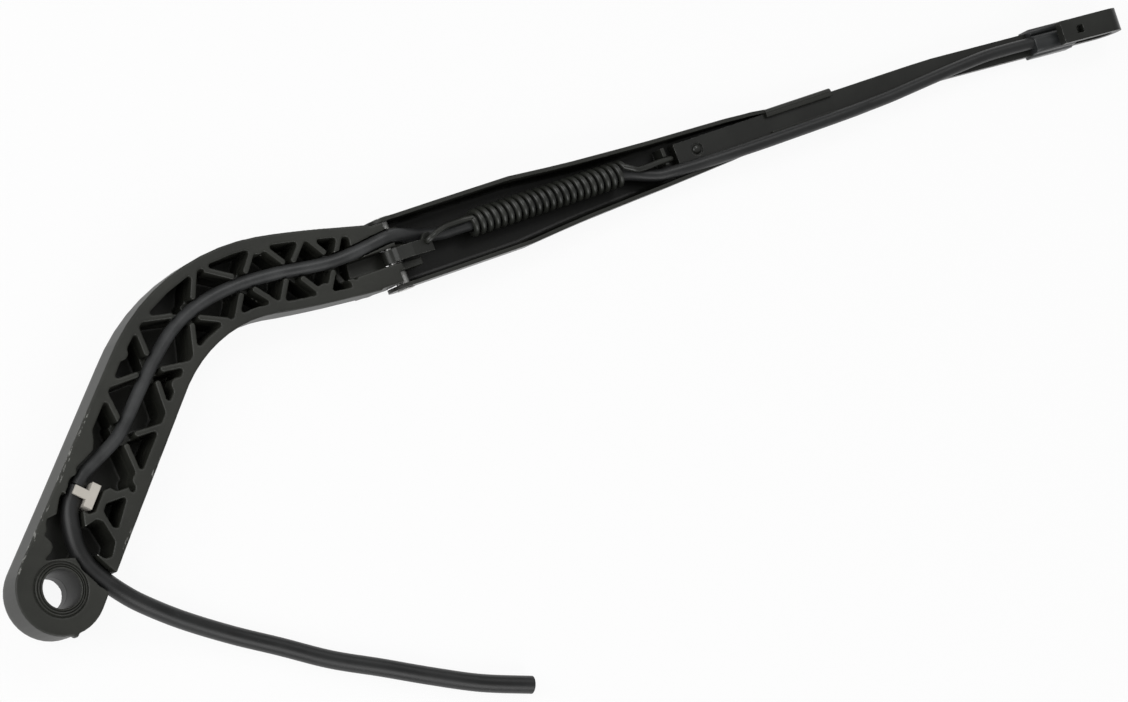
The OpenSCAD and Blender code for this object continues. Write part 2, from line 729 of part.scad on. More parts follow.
arm_head();
pivot_pin();
spring_pin();
spring_link();
spring();
arm_channel();
arm_rod();
rod_rivet();
hose_clip();
feed_hose();
arm_hose();
tip_sleeve();
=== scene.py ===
import math

import bpy
from mathutils import Matrix, Vector


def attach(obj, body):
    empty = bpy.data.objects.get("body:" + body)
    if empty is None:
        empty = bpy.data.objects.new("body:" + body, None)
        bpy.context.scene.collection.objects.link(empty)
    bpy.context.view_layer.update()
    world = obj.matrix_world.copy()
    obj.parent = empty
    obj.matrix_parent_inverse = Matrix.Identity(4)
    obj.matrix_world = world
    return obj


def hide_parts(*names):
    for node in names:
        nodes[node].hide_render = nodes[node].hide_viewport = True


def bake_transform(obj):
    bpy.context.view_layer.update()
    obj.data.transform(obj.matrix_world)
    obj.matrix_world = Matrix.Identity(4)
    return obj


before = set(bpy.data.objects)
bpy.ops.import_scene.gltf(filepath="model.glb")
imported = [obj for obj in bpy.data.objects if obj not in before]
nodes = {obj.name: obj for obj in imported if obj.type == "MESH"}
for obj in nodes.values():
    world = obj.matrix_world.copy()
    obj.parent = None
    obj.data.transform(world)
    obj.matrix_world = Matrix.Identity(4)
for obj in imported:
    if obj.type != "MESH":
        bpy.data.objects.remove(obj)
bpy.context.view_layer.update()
print("frame loaded:", len(nodes), "pieces")

# The arm lies on its outer face with the underside up, and the camera looks down on it
# from the spindle end

cameraView = {
    "aim": (0.22509, 0.01925, 0.01789),
    "distance": 1.5,
    "tilt": 28.5,  # degrees off straight down
    "roll": 24.17,
    "turn": 3.85,
    "sensor": 36,
    "focal": 3900,  # in pixels of the photograph
    "width": 1128,
    "clipEnd": 20,
}


def makeCamera(view):
    tilt, roll, turn = (math.radians(view[k]) for k in ("tilt", "roll", "turn"))
    along = Vector((math.cos(turn), math.sin(turn), 0))
    across = Vector((-math.sin(turn), math.cos(turn), 0))
    upward = Vector((0, 0, 1))
    back = upward * math.cos(tilt) - along * math.sin(tilt)
    leaning = along * math.cos(tilt) + upward * math.sin(tilt)
    right = leaning * math.cos(roll) - across * math.sin(roll)
    top = leaning * math.sin(roll) + across * math.cos(roll)
    data = bpy.data.cameras.new("viewCamera")
    data.lens = view["sensor"] * view["focal"] / view["width"]
    data.sensor_width = view["sensor"]
    data.sensor_fit = "HORIZONTAL"
    data.clip_end = view["clipEnd"]
    camera = bpy.data.objects.new("viewCamera", data)
    bpy.context.scene.collection.objects.link(camera)
    place = Vector(view["aim"]) + back * view["distance"]
    turned = Matrix((right, top, back)).transposed().to_4x4()
    camera.matrix_world = Matrix.Translation(place) @ turned
    bpy.context.scene.camera = camera


makeCamera(cameraView)
bpy.context.scene.view_settings.view_transform = "Standard"
print("camera placed")


# Mesh helpers

meshing = {
    "perMetre": 1000,  # routes, outlines and profiles are in millimetres
    "sharpAngle": 38,
    "startSide": (0.02, 0.03, 1),  # nearly upright, so that no tube starts along it
    "weld": 0.000002,
    "smoothing": 0.5,
}
# a bored end has a flat rim and a blind hole, a plain end is a little crowned
tubeEnd = {
    "rim": 0.97,
    "mouth": 1.05,
    "proud": 0.00008,
    "lip": 0.0001,
    "holeEnd": 0.1,
    "crown": ((0.93, 0.00012), (0.05, 0.00014)),
}


def newPiece(name, points, faces, smooth=True):
    mesh = bpy.data.meshes.new(name)
    mesh.from_pydata([tuple(p) for p in points], [], faces)
    mesh.validate()
    mesh.update()
    if smooth:
        mesh.shade_smooth()
        mesh.set_sharp_from_angle(angle=math.radians(meshing["sharpAngle"]))
    piece = bpy.data.objects.new(name, mesh)
    bpy.context.scene.collection.objects.link(piece)
    return piece


def curvePoint(p, i, t):  # smooth line through the route points
    a, b, c, d = (p[max(0, min(len(p) - 1, k))] for k in (i - 1, i, i + 1, i + 2))
    return 0.5 * (2 * b + (c - a) * t + (2 * a - 5 * b + 4 * c - d) * t * t
                  + (3 * b - a - 3 * c + d) * t ** 3)


def smoothRoute(route, step):  # millimetres in, metres out, a point about every step metres
    p = [Vector(q) / meshing["perMetre"] for q in route]
    line = []
    for i in range(len(p) - 1):
        parts = max(1, round((p[i + 1] - p[i]).length / step))
        line += [curvePoint(p, i, k / parts) for k in range(parts)]
    return line + [p[-1]]


def carriedFrames(line):  # a side and a top direction at each point, without twist
    frames = []
    side = None
    for i in range(len(line)):
        ahead = (line[min(i + 1, len(line) - 1)] - line[max(i - 1, 0)]).normalized()
        if side is None:
            side = ahead.cross(Vector(meshing["startSide"])).normalized()
        side = (side - ahead * side.dot(ahead)).normalized()
        frames.append((side, ahead.cross(side), ahead))
    return frames


def tube(name, line, radius, sides, bore=0.0, depth=0.0, shape=None):
    # round tube along a line, with flat ends that may be bored
    frames = carriedFrames(line)
    points, faces, rings = [], [], []
    end = tubeEnd
    if bore:
        closing = [(radius * end["rim"], -end["proud"]), (bore * end["mouth"], -end["proud"]),
                   (bore, end["lip"]), (bore, depth), (bore * end["holeEnd"], depth)]
    else:
        closing = [(radius * share, -proud) for share, proud in end["crown"]]

    def ring(center, side, top, r, stretch=(1, 1)):
        rings.append(len(points))
        for k in range(sides):
            a = 2 * math.pi * k / sides
            points.append(center + side * (r * stretch[0] * math.cos(a))
                          + top * (r * stretch[1] * math.sin(a)))

    for p, (side, top, ahead) in zip(line, frames):
        ring(p, side, top, radius, shape(p) if shape else (1, 1))
    order = list(rings)
    for last in (False, True):
        side, top, ahead = frames[-1 if last else 0]
        center = line[-1 if last else 0]
        out = ahead if last else -ahead
        first = len(rings)
        for r, inward in closing:
            ring(center - out * inward, side, top, r)
        added = rings[first:]
        order = order + added if last else added[::-1] + order
    for a, b in zip(order, order[1:]):
        for k in range(sides):
            m = (k + 1) % sides
            faces.append((a + k, a + m, b + m, b + k))
    faces.append([order[0] + k for k in range(sides)][::-1])
    faces.append([order[-1] + k for k in range(sides)])
    return newPiece(name, points, faces)


def bakedCopy(piece, name):  # a new piece with the modifiers of another applied
    seen = piece.evaluated_get(bpy.context.evaluated_depsgraph_get())
    mesh = bpy.data.meshes.new_from_object(seen)
    mesh.name = name
    copy = bpy.data.objects.new(name, mesh)
    bpy.context.scene.collection.objects.link(copy)
    return copy


def prism(name, outline, bottom, top):  # upright body on an outline
    twiceArea = sum(a[0] * b[1] - b[0] * a[1] for a, b in zip(outline, outline[1:] + outline[:1]))
    outline = outline if twiceArea > 0 else outline[::-1]
    n = len(outline)
    points = [Vector((x, y, z)) / meshing["perMetre"] for z in (bottom, top) for x, y in outline]
    faces = [(k, (k + 1) % n, n + (k + 1) % n, n + k) for k in range(n)]
    faces += [tuple(range(n))[::-1], tuple(range(n, 2 * n))]
    return newPiece(name, points, faces, False)


def lathe(name, profile, center, sides, closed=False):  # body turned about an upright line
    points, faces = [], []
    for r, z in profile:
        for k in range(sides):
            a = 2 * math.pi * k / sides
            points.append(Vector((center[0] + r * math.cos(a), center[1] + r * math.sin(a), z))
                          / meshing["perMetre"])
    for i in range(len(profile) - 1):
        for k in range(sides):
            a, b = i * sides + k, i * sides + (k + 1) % sides
            faces.append((a, b, b + sides, a + sides))
    last = len(points) - sides
    if closed:
        faces += [(last + k, last + (k + 1) % sides, (k + 1) % sides, k) for k in range(sides)]
    else:
        faces.append(tuple(range(sides))[::-1])
        faces.append(tuple(range(last, last + sides)))
    return newPiece(name, points, faces)


def meltedCopy(node, name, voxel, soften, target, cutters):
    # copy of a solid with the soft edges and fillets that a casting has
    source = bpy.data.objects.new(name + "Source", nodes[node].data.copy())
    bpy.context.scene.collection.objects.link(source)
    weld = source.modifiers.new("weld", "WELD")
    weld.merge_threshold = meshing["weld"]
    for cutter in cutters:
        cut = source.modifiers.new("cut", "BOOLEAN")
        cut.operation = "DIFFERENCE"
        cut.object = cutter
        cut.solver = "EXACT"
    remesh = source.modifiers.new("remesh", "REMESH")
    remesh.mode = "VOXEL"
    remesh.voxel_size = voxel
    remesh.use_smooth_shade = True
    smooth = source.modifiers.new("smooth", "SMOOTH")
    smooth.factor = meshing["smoothing"]
    smooth.iterations = soften
    first = bakedCopy(source, name + "Full")
    triangles = sum(len(p.vertices) - 2 for p in first.data.polygons)
    fewer = first.modifiers.new("fewer", "DECIMATE")
    fewer.ratio = min(1.0, target / triangles)
    made = bakedCopy(first, name)
    made.data.shade_smooth()
    for extra in (source, first, *cutters):
        data = extra.data
        bpy.data.objects.remove(extra)
        bpy.data.meshes.remove(data)
    made.data.materials.clear()
    print(name, triangles, "triangles before,", len(made.data.polygons), "after")
    return made


# Feed hose, the thick rubber hose that hangs free from the clip

feedHose = {
    "diameter": 0.0069,
    "bore": 0.0036,
    "boreDepth": 0.012,
    "sides": 28,
    "step": 0.0018,
    "route": [(20.1, 32.7, 14), (18, 30.2, 14), (14.8, 25.9, 13.9), (13, 19, 13.8),
              (12.5, 12, 13.6), (13.9, 5, 13.6), (17.4, -1.4, 13.6), (21.9, -7.6, 13.4),
              (29, -14.8, 12), (43, -25.4, 7.8), (60.4, -36.9, 4.4), (77.5, -47.6, 3.6),
              (94.5, -58.7, 3.6), (112.4, -68.3, 3.6), (130.4, -78.2, 3.6),
              (148.8, -87.6, 3.6), (168.6, -95.5, 3.6)],
}

feedLine = smoothRoute(feedHose["route"], feedHose["step"])
feedPiece = tube("feedHose", feedLine, feedHose["diameter"] / 2, feedHose["sides"],
                 feedHose["bore"] / 2, feedHose["boreDepth"])
feedLength = sum((b - a).length for a, b in zip(feedLine, feedLine[1:]))
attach(feedPiece, "head")
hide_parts("feed_hose")
print("feed hose", round(feedLength, 4), "m")

# Arm hose, the thinner hose that is held along the head, the spring and the rod

armHose = {
    "diameter": 0.005,
    "bore": 0.0026,
    "boreDepth": 0.006,
    "sides": 24,
    "step": 0.0016,
    "bendFrom": (0.166, 0.0766, 0.007),
    "bendTo": (0.190, 0.0766, 0.007),
    # where the hose dips into the channel, how far that reaches, how much wider and lower it gets
    "dip": (0.1765, 0.0045, 0.12, 0.16),
    "route": [(20.7, 33.2, 14.2), (23, 35.2, 14.4), (26, 37.2, 14.7), (34, 41, 15.2),
              (41, 44.6, 15.4), (47, 49.6, 15.4), (56, 58.4, 15.4), (66, 67.6, 15.4),
              (76, 75.2, 15.4), (86, 79.9, 15.4), (97, 82.6, 15.4), (110, 83.6, 15.4),
              (125, 82.9, 15.4), (138, 81.3, 15.4), (148, 80.6, 15.4), (158, 81.2, 15.4),
              (166, 82.2, 15.5), (172, 82.8, 15.3), (178, 82.4, 13.6), (184, 81.2, 11),
              (190, 79.9, 8.5), (198, 78.4, 7.3), (206, 78.1, 7.2), (245, 78.1, 7.2),
              (276, 78.1, 7.2), (282, 77.8, 7.1), (287.5, 76.5, 6.8), (293, 74.4, 6.6),
              (299, 72.5, 6.9), (304, 72, 7.8), (310, 71.7, 8.4), (316, 71.5, 8.6),
              (321, 71.4, 9), (326, 71.3, 9.4), (336, 71.2, 9.9), (350, 71.2, 9.9),
              (360, 71.3, 9.9), (391, 71.7, 9.7), (404, 72.2, 8.3), (416, 72.7, 8.15),
              (434, 74, 8.05), (450, 75.1, 8.05), (466, 75.8, 8.05), (478, 75.5, 8.05),
              (486, 75.07, 8.05), (493, 74.68, 8.05), (500, 74.29, 8.05)],
}


def armHoseShape(p):  # the hose flattens a little where it dips into the channel
    middle, reach, wider, lower = armHose["dip"]
    near = math.exp(-((p.x - middle) / reach) ** 2)
    return (1 + wider * near, 1 - lower * near)


armLine = smoothRoute(armHose["route"], armHose["step"])
armPiece = tube("armHose", armLine, armHose["diameter"] / 2, armHose["sides"],
                armHose["bore"] / 2, armHose["boreDepth"], armHoseShape)
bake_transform(armPiece)
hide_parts("arm_hose")
print("arm hose made")

# Spring, close wound wire with a hook at each end

springWire = {
    "wire": 0.0023,
    "outside": 0.0108,
    "coils": 23,
    "perTurn": 28,  # points in a turn
    "sides": 14,
    "step": 0.0007,
    "trim": 8,  # points left off where a hook runs into the coil
    "gap": 0.0006,
    "start": 63,
    "first": (211.9, 78.1, 7.2),
    "pitch": 3.235,
    "lead": [(191.2, 76.3, 10.3), (189.2, 76.5, 10.5), (188.4, 76.6, 11.7), (188.4, 76.6, 13.2),
             (188.4, 76.6, 14.7), (189.2, 77, 15.8), (191.4, 77.9, 16), (195, 79, 14.6),
             (200, 79.9, 12.5), (206, 80.1, 11.3), (209.6, 80.1, 11)],
    "tail": [(285.8, 78.4, 11.2), (288.6, 77.1, 10.9), (292, 76.9, 10.2), (296.4, 77.1, 9.5),
             (300.8, 77.3, 8.8), (305.4, 77.3, 7.7), (307.2, 77.3, 6.5), (307.2, 77.3, 4.4)],
}


def springLine(s):
    r = (s["outside"] - s["wire"]) / 2 * meshing["perMetre"]
    x, y, z = s["first"]
    perTurn, trim = s["perTurn"], s["trim"]
    coil = []
    for i in range((s["coils"] - 1) * perTurn + 1):
        a = math.radians(s["start"] + 360 * i / perTurn)
        coil.append((x + s["pitch"] * i / perTurn, y + r * math.cos(a), z + r * math.sin(a)))
    lead = smoothRoute(s["lead"] + coil[1:3], s["step"])[:-trim]
    tail = smoothRoute(coil[-3:-1] + s["tail"], s["step"])[trim:]
    middle = [Vector(q) / meshing["perMetre"] for q in coil]
    lead = [p for p in lead if (p - middle[0]).length > s["gap"]]
    tail = [p for p in tail if (p - middle[-1]).length > s["gap"]]
    return lead + middle + tail


springPiece = tube("tensionSpring", springLine(springWire), springWire["wire"] / 2,
                   springWire["sides"])
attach(springPiece, "spring_set")
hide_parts("spring")
print("spring made")

# Head, with the soft edges and fillets of a die casting

headCasting = {
    "voxel": 0.00042,
    "triangles": 190000,
    "quickVoxel": 0.0007,
    "quickTriangles": 120000,
    "soften": 2,
    "boreCenter": (0, 0),
    "boreSides": 96,
    # wall of the recess beside the bore, with its half round bump, and its floor and top
    "recess": [(-2.3, 11.7), (1.2, 13.4), (2.7, 15), (2.9, 16.6), (2.2, 18.6), (1.2, 20),
               (2.7, 21.4), (3.4, 23.8), (4.4, 25.4), (8.4, 25.8), (11.5, 30.9), (14, 33.2),
               (13.9, 12.2), (9, 9.2)],
    "recessHeights": (7.6, 19),
    # room for the collar at the bore's mouth, then the collar: a cone inside, fine steps outside
    "mouthRoom": [(0.2, 6.7), (10.2, 6.7), (10.2, 19), (0.2, 19)],
    "mouth": [(10.5, 6.5), (10.5, 17.25), (10.1, 17.4), (9.95, 17.4), (9.8, 17.95),
              (9.55, 18.15), (9.25, 18.12), (9.1, 17.7), (8.96, 17.7), (8.8, 18.35),
              (8.58, 18.55), (8.32, 18.52), (8.2, 18.1), (8.06, 18.1), (7.93, 18.85),
              (7.75, 19.08), (7.5, 19.1), (7.32, 18.95), (7.25, 18.6), (6, 6.5)],
}


def makeHead(h):
    voxel, triangles = h["voxel"], h["triangles"]
    recess = prism("boreRecess", h["recess"], *h["recessHeights"])
    room = lathe("mouthRoom", h["mouthRoom"], h["boreCenter"], h["boreSides"])
    casting = meltedCopy("arm_head", "headCasting", voxel, h["soften"], triangles, (recess, room))
    collar = lathe("boreMouth", h["mouth"], h["boreCenter"], h["boreSides"], True)
    for piece in (casting, collar):
        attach(piece, "head")
    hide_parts("arm_head")
    return casting, collar


headPiece, mouthPiece = makeHead(headCasting)
print("head made")

# Rivet, a low dome that stands in a ring recess of the rod

rivet = {
    "center": (321, 77.7),
    "sides": 40,
    "shank": 1.6,
    "foot": (2.8, 0.05, 0.65),  # radius, bottom and top
    "footEdge": (0.3, 0.2),
    "dome": (1.95, 4.9, 0.95),  # radius, seat and rise
    "domeFoot": 0.15,
    "domeSteps": range(10, 90, 10),
}


def rivetProfile(r):
    wide, low, high = r["foot"]
    inward, upward = r["footEdge"]
    dome, seat, rise = r["dome"]
    turned = [(wide - inward, low), (wide, low + upward), (wide, high), (r["shank"], high),
              (r["shank"], seat), (dome, seat)]
    for degrees in r["domeSteps"]:
        a = math.radians(degrees)
        turned.append((dome * math.cos(a), seat + r["domeFoot"] + rise * math.sin(a)))
    return turned


rivetPiece = lathe("rivet", rivetProfile(rivet), rivet["center"], rivet["sides"])
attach(rivetPiece, "arm")
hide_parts("rod_rivet")
print("rivet made")

# Sleeve at the hose's end, a moulded body over rod and hose with a round ridge along one side

sleeveForm = {
    "bend": (442, 77.53, -3.2),  # start of the rod's bent part, and its angle
    "ends": (49.3, 70.2),
    "edge": 0.3,
    # section across the rod, sideways and up
    "section": [(-5.6, 0.6), (5.6, 0.6), (5.8, 0.9), (5.85, 8.1), (5.75, 8.8), (5.4, 9.35),
                (4.9, 9.65), (4.3, 9.7), (3.7, 9.5), (3.2, 9.05), (2.95, 8.5), (2.75, 8.35),
                (2.65, 9.5), (2.3, 10.4), (1.5, 11), (0.4, 11.2), (-2.6, 11.15), (-3.9, 10.9),
                (-4.7, 10.2), (-4.95, 9.2), (-5, 7), (-5.6, 6.5), (-5.8, 6.1), (-5.8, 0.9)],
}


def makeSleeve(s):
    x0, y0, bend = s["bend"]
    a = math.radians(bend)
    low, high = s["ends"]
    section = s["section"]
    n = len(section)
    middle = (sum(u for u, z in section) / n, sum(z for u, z in section) / n)
    stations = ((low, s["edge"]), (low + s["edge"], 0), (high - s["edge"], 0), (high, s["edge"]))
    points, faces = [], []
    for run, inset in stations:
        for u, z in section:
            reach = math.hypot(u - middle[0], z - middle[1])
            u, z = (m + (v - m) * (1 - inset / reach) for v, m in ((u, middle[0]), (z, middle[1])))
            x = x0 + run * math.cos(a) - u * math.sin(a)
            y = y0 + run * math.sin(a) + u * math.cos(a)
            points.append(Vector((x, y, z)) / meshing["perMetre"])
    last = len(stations) - 1
    for i in range(last):
        for k in range(n):
            m = (k + 1) % n
            faces.append((i * n + m, i * n + k, (i + 1) * n + k, (i + 1) * n + m))
    faces.append(tuple(range(n)))
    faces.append(tuple(range(last * n, (last + 1) * n))[::-1])
    piece = newPiece("sleeve", points, faces)
    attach(piece, "arm")
    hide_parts("tip_sleeve")
    return piece


sleevePiece = makeSleeve(sleeveForm)
print("sleeve made")


# Materials

bevelSamples = 6


class Wire:
    # a socket that takes part in plain sums, each sum being a Math node
    def __init__(self, finish, socket):
        self.finish = finish
        self.socket = socket

    def sum(self, operation, *others):
        values = dict(enumerate(others))
        return self.finish.add("ShaderNodeMath", {"operation": operation}, values)

    def __add__(self, other): return self.sum("ADD", self, other)
    def __radd__(self, other): return self.sum("ADD", other, self)
    def __sub__(self, other): return self.sum("SUBTRACT", self, other)
    def __rsub__(self, other): return self.sum("SUBTRACT", other, self)
    def __mul__(self, other): return self.sum("MULTIPLY", self, other)
    def __rmul__(self, other): return self.sum("MULTIPLY", other, self)
    def high(self, other): return self.sum("MAXIMUM", self, other)


class Finish:
    # one material, its principled shader and the nodes that feed it
    def __init__(self, name, **constants):
        self.material = bpy.data.materials.new(name)
        self.material.use_nodes = True
        self.tree = self.material.node_tree
        self.shader = self.tree.nodes["Principled BSDF"]
        for socket, value in constants.items():
            self.shader.inputs[socket.replace("_", " ")].default_value = value
        self.coords = self.add("ShaderNodeTexCoord", {}, {}, "Object")

    def add(self, kind, settings, links, out=0):
        node = self.tree.nodes.new(kind)
        for key, value in settings.items():
            setattr(node, key, value)
        for key, value in links.items():
            socket = node.inputs[key]
            if isinstance(value, Wire):
                self.tree.links.new(value.socket, socket)
            elif isinstance(value, tuple) and len(value) == 3 and socket.type == "RGBA":
                socket.default_value = (*value, 1)
            else:
                socket.default_value = value
        return Wire(self, node.outputs[out])

    def axis(self, k):  # one coordinate of the point, in metres
        return self.add("ShaderNodeSeparateXYZ", {}, {0: self.coords}, k)

    def scaled(self, factors):  # coordinates stretched or squeezed along the axes
        return self.add("ShaderNodeVectorMath", {"operation": "MULTIPLY"},
                        {0: self.coords, 1: factors})

    def noise(self, scale, detail=4.0, rough=0.6, vector=None):
        return self.add("ShaderNodeTexNoise", {"noise_dimensions": "3D"},
                        {"Vector": vector or self.coords, "Scale": scale, "Detail": detail,
                         "Roughness": rough}, "Fac")

    def cells(self, scale):
        return self.add("ShaderNodeTexVoronoi", {"feature": "F1"},
                        {"Vector": self.coords, "Scale": scale}, "Distance")

    def ramp(self, value, low, high, bottom=0.0, top=1.0):
        return self.add("ShaderNodeMapRange", {"interpolation_type": "SMOOTHSTEP"},
                        {"Value": value, "From Min": low, "From Max": high,
                         "To Min": bottom, "To Max": top})

    def band(self, value, middle, half, soft):  # 1 inside a band of values, soft at its ends
        off = self.add("ShaderNodeMath", {"operation": "ABSOLUTE"}, {0: value - middle})
        return self.ramp(off, half, half + soft, 1.0, 0.0)

    def mix(self, mask, first, second):  # colours
        return self.add("ShaderNodeMix", {"data_type": "RGBA"},
                        {0: mask, 6: first, 7: second}, 2)

    def rounded(self, radius):  # the normal as if sharp edges were rounded
        return self.add("ShaderNodeBevel", {"samples": bevelSamples}, {"Radius": radius})

    def facing(self):
        return self.add("ShaderNodeNewGeometry", {}, {}, "Normal")

    def edges(self, radius, low, high):  # how near a point is to a sharp outer edge
        match = self.add("ShaderNodeVectorMath", {"operation": "DOT_PRODUCT"},
                         {0: self.rounded(radius), 1: self.facing()}, "Value")
        return self.ramp(1 - match, low, high)

    def pointed(self):  # how much an edge stands out, from the mesh itself
        return self.add("ShaderNodeNewGeometry", {}, {}, "Pointiness")

    def bump(self, height, strength, distance, normal=None):
        links = {"Height": height, "Strength": strength, "Distance": distance}
        if normal:
            links["Normal"] = normal
        return self.add("ShaderNodeBump", {}, links)

    def feed(self, **values):
        for socket, value in values.items():
            self.tree.links.new(value.socket, self.shader.inputs[socket.replace("_", " ")])

    def put(self, *pieces):
        for piece in pieces:
            piece.data.materials.clear()
            piece.data.materials.append(self.material)


def dress(node, finish):  # a solid that keeps its own mesh takes a finish
    piece = nodes[node]
    if not piece.material_slots:
        piece.data.materials.append(finish.material)
    for slot in piece.material_slots:
        slot.material = finish.material


# Cast black, rubbed on its edges and chipped to bare metal along the leg's two rims

castBlack = {
    "low": (0.0155, 0.0162, 0.0128),
    "high": (0.0280, 0.0290, 0.0235),
    "rub": (0.060, 0.061, 0.054),
    "bare": (0.50, 0.50, 0.47),
    # the bore colour is painted shade, laid near black on the bore's wall
    "bore": (0.0030, 0.0031, 0.0026),
    "specular": 0.5,
    "cloud": (26, 5, 0.6),  # noise: scale, detail and roughness
    "grain": (1500, 3, 0.6),
    "flakes": (900, 4, 0.7),
    "flakeLength": 0.35,
    "wearing": (420, 4, 0.65),
    "scuffs": (90, 6, 0.7),
    "scuffStretch": (1, 2.2, 1),
    "specks": (980, 2, 0.5),
    "pits": 900,
    "cloudRange": (0.3, 0.7),
    "edgeRange": (0.53, 0.60),
    "wornFrom": (0.55, 0.75),  # shares of edge and noise
    "wornRange": (0.88, 0.94),
    "flakeRange": (0.52, 0.59),
    "scuffRange": (0.62, 0.74),
    "speckRange": (0.74, 0.78),
    # squares of the distance from the bore's axis: no wear inside noWear, and painted shade on the
    # bore's wall inside the next pair, at most the share after it
    "noWear": (0.00014, 0.00017),
    "boreShadeReach": (0.000049, 0.000056),
    "boreShadeMost": 0.75,
    "scuffMost": 0.25,
    "edgeMost": 0.42,
    "speckMost": 0.5,
    "bareMost": 0.85,
    "metalMost": 0.5,
    "chipTop": (0.0164, 0.0172),
    "chipSoft": (0.003, 0.0003),
    "chipMost": 0.55,
    "legAngle": 46.0,
    # chipped stretches of the rims: along the leg, beside it, half length, half width
    "chips": [(0.0500, 0.0159, 0.0130, 0.0006), (0.0165, 0.0164, 0.0075, 0.0007),
              (0.0020, 0.0167, 0.0030, 0.0005), (0.0262, -0.0158, 0.0030, 0.0004),
              (0.0560, -0.0156, 0.0030, 0.0004)],
    "rough": (0.42, 0.14, 0.1),  # at least, more in clouds, less where worn
    "relief": (0.6, 0.5, 0.5),  # grain, pits and wear
    "bump": (0.28, 0.00012),  # strength and distance
}


def castFinish(c):
    f = Finish("castBlack", Specular_IOR_Level=c["specular"])
    turn = math.radians(c["legAngle"])
    x, y, z = (f.axis(k) for k in range(3))
    along = x * math.cos(turn) + y * math.sin(turn)
    beside = y * math.cos(turn) - x * math.sin(turn)
    fromBore = x * x + y * y
    cloud = f.noise(*c["cloud"])
    grain = f.noise(*c["grain"])
    pits = f.cells(c["pits"])
    drawn = f.add("ShaderNodeCombineXYZ", {}, {0: along * c["flakeLength"], 1: beside, 2: z})
    flakes = f.ramp(f.noise(*c["flakes"], drawn), *c["flakeRange"], 0.0, c["chipMost"])
    edge = f.ramp(f.pointed(), *c["edgeRange"])
    byEdge, byNoise = c["wornFrom"]
    worn = f.ramp(edge * byEdge + f.noise(*c["wearing"]) * byNoise, *c["wornRange"])
    worn = worn * f.ramp(fromBore, *c["noWear"])
    softAlong, softBeside = c["chipSoft"]
    for place, offset, half, width in c["chips"]:
        rim = f.band(along, place, half, softAlong) * f.band(beside, offset, width, softBeside)
        worn = worn.high(rim * f.ramp(z, *c["chipTop"]) * flakes)
    scuffs = f.ramp(f.noise(*c["scuffs"], f.scaled(c["scuffStretch"])), *c["scuffRange"])
    specks = f.ramp(f.noise(*c["specks"]), *c["speckRange"])
    base = f.mix(f.ramp(cloud, *c["cloudRange"]), c["low"], c["high"])
    base = f.mix(scuffs * c["scuffMost"], base, c["rub"])
    base = f.mix(edge * c["edgeMost"], base, c["rub"])
    base = f.mix(specks * c["speckMost"], base, c["rub"])
    base = f.mix(worn * c["bareMost"], base, c["bare"])
    # painted shade: the bore's wall is darkened towards the bore colour
    base = f.mix(f.ramp(fromBore, *c["boreShadeReach"], c["boreShadeMost"], 0.0), base, c["bore"])
    least, more, less = c["rough"]
    byGrain, byPits, byWear = c["relief"]
    f.feed(Base_Color=base, Metallic=worn * c["metalMost"],
           Roughness=least + cloud * more - worn * less,
           Normal=f.bump(grain * byGrain + pits * byPits - worn * byWear, *c["bump"]))
    return f


# Black paint on sheet and rod, and a lighter one on the wire

paintBlack = {
    "low": (0.0085, 0.0092, 0.0072),
    "high": (0.0165, 0.0175, 0.0145),
    "bare": (0.36, 0.36, 0.34),
    "specular": 0.55,
    "rough": (0.34, 0.14),
    "round": 0.0005,
    "wear": 0.6,
    "coatRough": 0.12,
    "cloud": (40, 5, 0.6),
    "peel": (700, 2, 0.5),
    "wearing": (500, 4, 0.65),
    "cloudRange": (0.3, 0.7),
    "edgeRange": (0.02, 0.22),
    "wornFrom": (0.5, 0.8),
    "wornRange": (0.88, 0.95),
    "bump": (0.12, 0.0001),
}
wireBlack = {
    **paintBlack,
    "low": (0.0150, 0.0160, 0.0135),
    "high": (0.0300, 0.0315, 0.0270),
    "rough": (0.26, 0.14),
    "round": 0.0003,
    "wear": 0.2,
}
channelBlack = {
    **paintBlack,
    "specular": 0.34,
    # glossy outside, painted shade low down in the fold, and a painted highlight on the faces of
    # the rims that look up
    "fold": {
        "middle": 0.0766,
        "outside": (0.002, 0.005),
        "gloss": 0.12,
        # colour of the painted shade in the fold
        "foldShade": (0.0022, 0.0024, 0.0018),
        "foldShadeHeights": (0.0018, 0.007),
        "foldShadeMost": 0.7,
        # colour of the painted highlight on the rims
        "rim": (0.030, 0.031, 0.027),
        "litRimFacing": (0.35, 0.8),
        "litRimHeights": (0.004, 0.006),
        "litRimMost": 0.8,
    },
}


